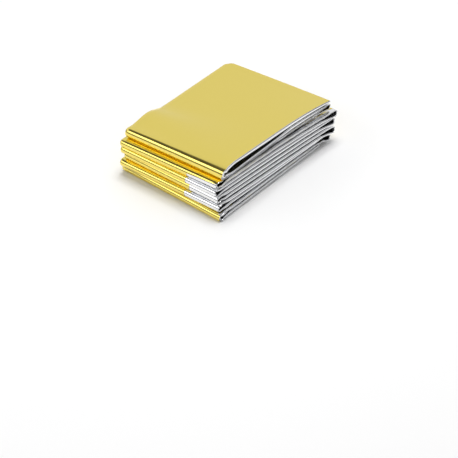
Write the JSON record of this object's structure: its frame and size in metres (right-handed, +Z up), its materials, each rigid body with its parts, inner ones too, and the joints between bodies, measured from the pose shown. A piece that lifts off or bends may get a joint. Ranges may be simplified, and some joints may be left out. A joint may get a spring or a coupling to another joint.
{
  "type": "folded emergency foil blanket",
  "caption": "Metallised film rescue blanket, gold outside and silver inside, pleated into a strip and folded back and forth into a flat pack.",
  "frame": {"origin": "middle of the pack's footprint, on the surface it lies on", "axes": "+Z up, +Y from the front folds to the back folds, +X to the side where the pleats show silver"},
  "size_m": [0.1042, 0.142, 0.0461],
  "materials": {
    "gold_film": "bright metallised film, gold lacquer on one side and bare silver on the other"
  },
  "bodies": {
    "root": {"foil_blanket": "gold_film"}
  },
  "joints": []
}
